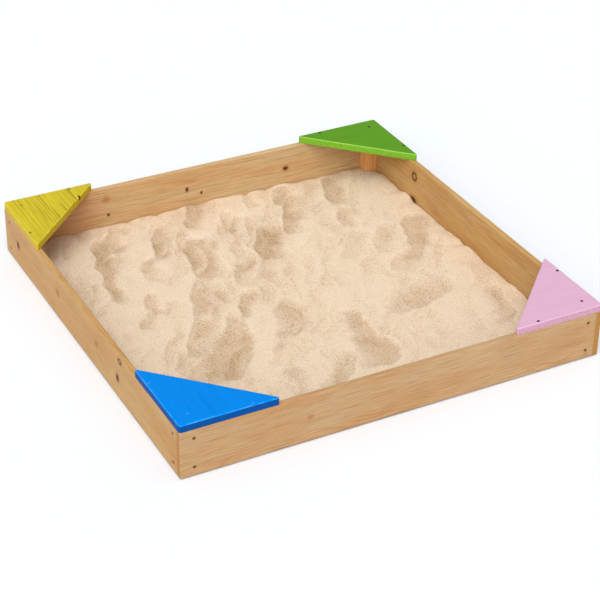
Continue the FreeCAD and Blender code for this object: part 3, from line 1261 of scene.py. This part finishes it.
@dataclass
class Studio:
    """A white floor, a pale even sky, two large soft lights and the camera."""

    target: tuple[float, float, float] = (21.7, -13.6, 0.0)      # mm
    distance: float = 4434.8                                     # mm
    azimuth: float = 28.015                                      # degrees
    elevation: float = 31.981
    roll: float = 0.877
    lens: float = 107.63                                         # mm on a 36 mm sensor
    floor_side: float = 60.0                                     # m
    floor_gap: float = 3.0                  # mm, since no board lies quite flat
    floor_colour: str = "#E6EAEF"
    sky: float = 0.60
    lights: tuple[SoftLight, ...] = (SoftLight("key_light", 1.75, 40.0, (0.28, 0.42, -0.86)),
                                     SoftLight("fill_light", 1.25, 50.0, (0.60, 0.64, -0.45)))

    def build(self) -> None:
        """Builds the camera, the sky, the lights and the floor."""
        self.make_camera()
        bpy.context.scene.view_settings.view_transform = "Standard"
        world = bpy.data.worlds.new("pale_studio")
        world.use_nodes = True
        sky = world.node_tree.nodes["Background"].inputs
        sky["Color"].default_value = linear("#FFFFFF")
        sky["Strength"].default_value = self.sky
        bpy.context.scene.world = world
        for light in self.lights:
            light.build()
        self.make_floor()

    def make_camera(self) -> None:
        """Makes the camera: it looks at the target from the distance, azimuth and elevation,
        and is then rolled."""
        turn, rise, roll = (math.radians(v) for v in (self.azimuth, self.elevation, self.roll))
        away = Vector((-math.cos(rise) * math.sin(turn), -math.cos(rise) * math.cos(turn),
                       math.sin(rise)))
        right = (-away).cross(Vector((0.0, 0.0, 1.0))).normalized()
        up = right.cross(-away)
        right, up = (right * math.cos(roll) + up * math.sin(roll),
                     up * math.cos(roll) - right * math.sin(roll))
        data = bpy.data.cameras.new("studio_camera")
        data.lens = self.lens
        data.sensor_width = 36.0
        data.clip_start, data.clip_end = 0.1, 200.0
        camera = bpy.data.objects.new("studio_camera", data)
        spot = (Vector(self.target) + away * self.distance) * MM
        camera.matrix_world = Matrix((
            (right.x, up.x, away.x, spot.x), (right.y, up.y, away.y, spot.y),
            (right.z, up.z, away.z, spot.z), (0.0, 0.0, 0.0, 1.0)))
        bpy.context.scene.collection.objects.link(camera)
        bpy.context.scene.camera = camera

    def make_floor(self) -> None:
        """Makes the floor of matte white paper, just under the sandbox."""
        material, tree = start_material("white_studio_paper")
        shader = add_node(tree, "BsdfPrincipled", {
            "Base Color": linear(self.floor_colour), "Roughness": 0.9,
            "Specular IOR Level": 0.1})
        add_node(tree, "OutputMaterial", {"Surface": shader})
        half, low = self.floor_side / 2.0, -self.floor_gap * MM
        mesh = bpy.data.meshes.new("studio_floor")
        mesh.from_pydata([(-half, -half, low), (half, -half, low), (half, half, low),
                          (-half, half, low)], [], [(0, 1, 2, 3)])
        mesh.materials.append(material)
        floor = bpy.data.objects.new("studio_floor", mesh)
        bpy.context.scene.collection.objects.link(floor)


# ------------------------------------------------------------------ the whole
def pine_boards() -> dict[Side, PlanedPine]:
    """Each board's pine: its own stretch of a log and its own knots, and colours that are
    partly its own tone and partly painted light and shade for how the light falls on its
    seen face, the back board lighter against the shade on its inner face.

    Returns:
        The finish of each side's board.
    """
    faint, ring = KnotKind.FAINT, KnotKind.RING
    return {
        Side.FRONT: PlanedPine(
            "planed_pine_front", "#C6A67F", "#AB8251", "#C09366", (
                Knot(-228, 63, 11, 8, faint),)),
        Side.RIGHT: PlanedPine(
            "planed_pine_right", "#CDAA74", "#B2864F", "#C4955A", (
                Knot(289, 82, 24, 26, ring), Knot(289, 12, 30, 16)), turns=1, shift=2300.0),
        Side.BACK: PlanedPine(
            "planed_pine_back", "#D3B88F", "#B8915D", "#CFA473", (
                Knot(269, 88, 16, 14, faint), Knot(264, 41, 7, 7), Knot(38, 62, 8, 12),
                Knot(-4, 43, 6, 8), Knot(-257, 58, 14, 12)), turns=2, shift=4700.0,
            heart=(400.0, 110.0)),
        Side.LEFT: PlanedPine(
            "planed_pine_left", "#C9A36C", "#AE8144", "#C49256", (
                Knot(-448, 60, 15, 18), Knot(-172, 73, 16, 15, faint),
                Knot(74, 70, 12, 14, faint), Knot(217, 107, 19, 15, ring),
                Knot(199, 53, 14, 18)), turns=3, shift=7100.0,
            knot_colours=("#331404", "#8F5020")),
    }


def painted_seats() -> tuple[Seat, ...]:
    """The four seats, each in another colour. The yellow paint is thin over coarse grain
    with a split near one tip.

    Returns:
        The seats.
    """
    return (
        Seat(Corner.FRONT_LEFT, "paint_blue", WoodPaint(
            "satin_paint_blue", "#0080DC", "#0072C8", "#0A4A92", "#3A98E6", turns=1,
            arris_wear_and_highlight_share=0.55, gloss=0.03), Grain(along_y=True)),
        Seat(Corner.FRONT_RIGHT, "paint_pink", WoodPaint(
            "satin_paint_lilac", "#D1A7BF", "#C79AB4", "#C192A5", "#D3A8C1"),
            Grain(along_y=True)),
        Seat(Corner.BACK_RIGHT, "paint_green", WoodPaint(
            "satin_paint_green", "#589018", "#4A8216", "#73AA2F", "#90C452", arris_wear_and_highlight_share=0.95)),
        Seat(Corner.BACK_LEFT, "paint_yellow", WoodPaint(
            "satin_paint_yellow", "#CCB929", "#7C6A0E", "#C2A51E", "#DACC4C", turns=1,
            line_share=1.0), Grain(relief=0.6, gap=9.5, width=0.2, bands=(
                (30.0, 60.0, 0.25), (108.0, 26.0, 1.0), (176.0, 20.0, 0.8))),
            splits=((57.0, 183.0, 6.0, 2.4),)),
    )


@dataclass
class Sandbox:
    """The whole sandbox."""

    boards: dict[Side, PlanedPine] = field(default_factory=pine_boards)
    seats: tuple[Seat, ...] = field(default_factory=painted_seats)
    sand: Sand = field(default_factory=lambda: Sand(DrySand()))
    screws: dict[str, ZincPlate] = field(default_factory=lambda: {
        "board_screws": ZincPlate("dull_zinc_plated_steel", "#5A4632", "#8C7458"),
        "seat_screws": ZincPlate("zinc_plated_steel_part_painted", "#1C1712", "#453C32", (
            (-1.0, -1.0, "#2488E2"), (-1.0, 1.0, "#857420")))})

    def build(self) -> None:
        """Builds every piece and dresses the screws."""
        for side, finish in self.boards.items():
            Board(side, finish).build()
        for number, corner in enumerate(Corner):
            # The posts' colours are lighter than the boards', as painted light against the shade
            # under the seats.
            Post(corner, PlanedPine(
                f"planed_pine_post_{number + 1}", "#FBBD7C", "#DC9356", "#EEA966",
                upright=True, pith=(60.0, -70.0), shift=900.0 * number)).build()
        for seat in self.seats:
            seat.build()
        self.sand.build()
        for node, finish in self.screws.items():
            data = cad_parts[node].data
            data.materials.clear()
            data.materials.append(finish.build())


def main() -> None:
    """Builds the studio and the sandbox."""
    logging.basicConfig(level=logging.INFO, format="%(name)s: %(message)s")
    Studio().build()
    Sandbox().build()
    bpy.context.view_layer.update()


if __name__ == "__main__":
    main()
